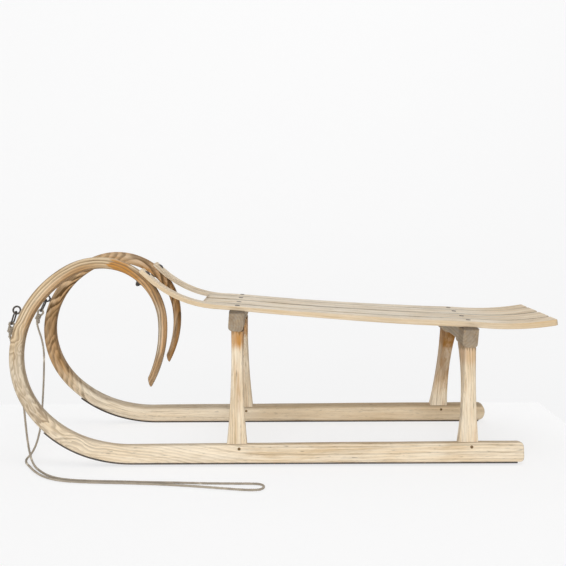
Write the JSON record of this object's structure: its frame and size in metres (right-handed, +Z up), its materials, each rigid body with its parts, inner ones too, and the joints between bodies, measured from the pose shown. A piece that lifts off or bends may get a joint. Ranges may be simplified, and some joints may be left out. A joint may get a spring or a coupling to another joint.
{
  "type": "wooden sled",
  "caption": "Wooden horn sled with bent looped runners, waisted legs, a slatted seat swept up to the horns, and a tow rope.",
  "frame": {"origin": "on the floor, midway along the sled and midway between the runners", "axes": "+X forward towards the loops, +Y to the sled's left, +Z up"},
  "size_m": [1.2145, 0.5073, 0.447],
  "materials": {
    "ash_runner": "weathered oiled ash",
    "ash_leg": "weathered oiled ash",
    "ash_bar": "grey weathered ash",
    "ash_slat": "grey weathered ash",
    "peg_wood": "dark end grain",
    "shoe_steel": "dark worn steel",
    "fixing_steel": "dull dark steel",
    "rope": "twisted natural fibre"
  },
  "bodies": {
    "root": {"runner_left": "ash_runner", "runner_right": "ash_runner", "leg_front_left": "ash_leg", "leg_front_right": "ash_leg", "leg_rear_left": "ash_leg", "leg_rear_right": "ash_leg", "crossbar_front": "ash_bar", "crossbar_rear": "ash_bar", "slat_outer_left": "ash_slat", "slat_outer_right": "ash_slat", "slat_inner_left": "ash_slat", "slat_inner_right": "ash_slat", "peg_front_left": "peg_wood", "peg_front_right": "peg_wood", "peg_rear_left": "peg_wood", "peg_rear_right": "peg_wood", "shoe_left": "shoe_steel", "shoe_right": "shoe_steel", "eye_left": "fixing_steel", "eye_right": "fixing_steel", "link_left": "fixing_steel", "link_right": "fixing_steel", "horn_bolt_left": "fixing_steel", "horn_bolt_right": "fixing_steel", "horn_nut_left": "fixing_steel", "horn_nut_right": "fixing_steel", "tow_rope": "rope", "rope_knot_left": "rope", "rope_knot_right": "rope"}
  },
  "joints": []
}
